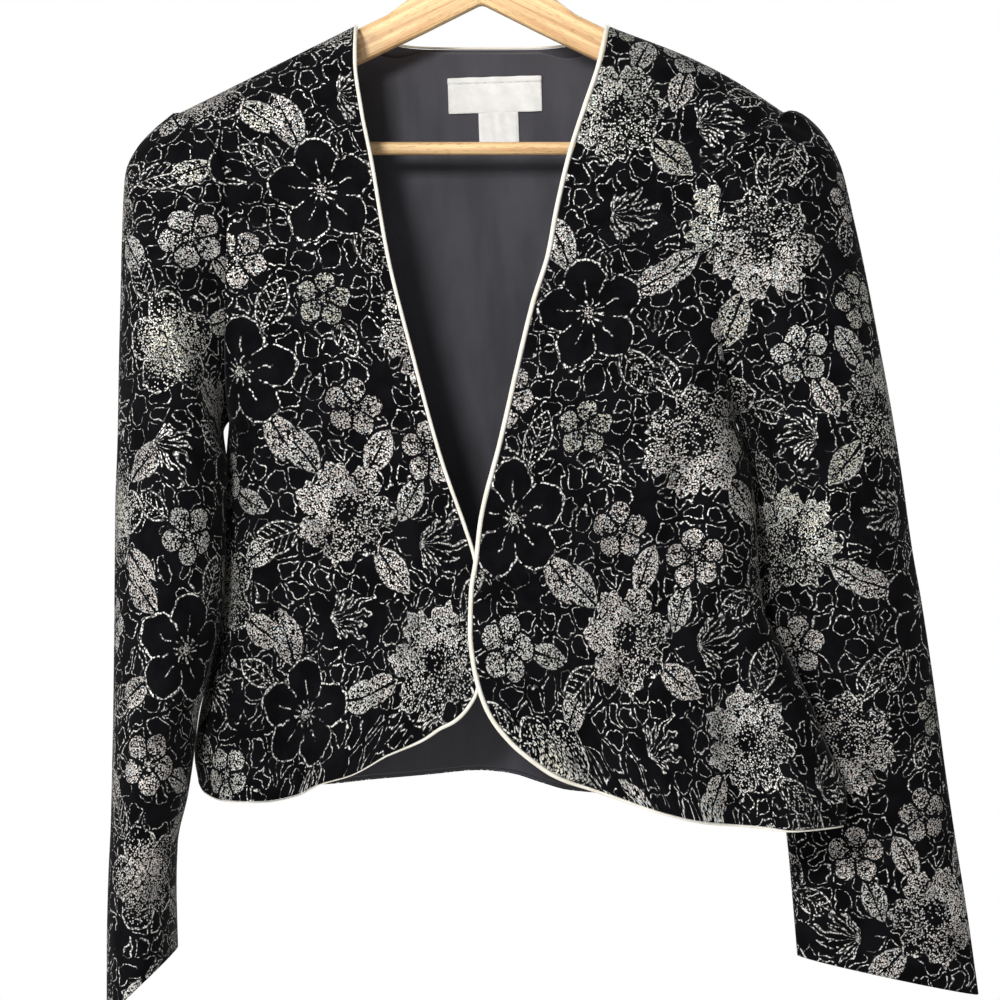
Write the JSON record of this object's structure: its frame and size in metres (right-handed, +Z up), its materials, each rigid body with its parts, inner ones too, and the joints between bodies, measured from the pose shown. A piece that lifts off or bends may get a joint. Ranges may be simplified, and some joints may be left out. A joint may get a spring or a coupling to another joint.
{
  "type": "bolero jacket on a wooden hanger",
  "caption": "Cropped open-front velvet bolero with long puff-headed sleeves and satin-piped curved edges, hanging from a wooden hanger with a bar and wire hook.",
  "frame": {"origin": "inside top of the hanger's hook, where it bears on the rail that holds it", "axes": "+Z up; +X to the wearer's left, which is the viewer's right; -Y out of the jacket's front"},
  "size_m": [0.5909, 0.1471, 0.7879],
  "materials": {
    "velvet": "black velvet with a silver glitter floral print",
    "lining": "smooth charcoal satin lining",
    "piping": "cream satin cord",
    "label": "blank woven label",
    "beech": "clear-varnished beech",
    "hook_steel": "bright wire"
  },
  "bodies": {
    "root": {"front_left": "velvet", "front_right": "velvet", "back": "velvet", "sleeve_left": "velvet", "sleeve_right": "velvet", "lining_back": "lining", "piping_left": "piping", "piping_right": "piping", "piping_neck": "piping", "label": "label", "size_tag": "label", "hanger_arms": "beech", "hanger_bar": "beech", "hanger_hook": "hook_steel"}
  },
  "joints": []
}
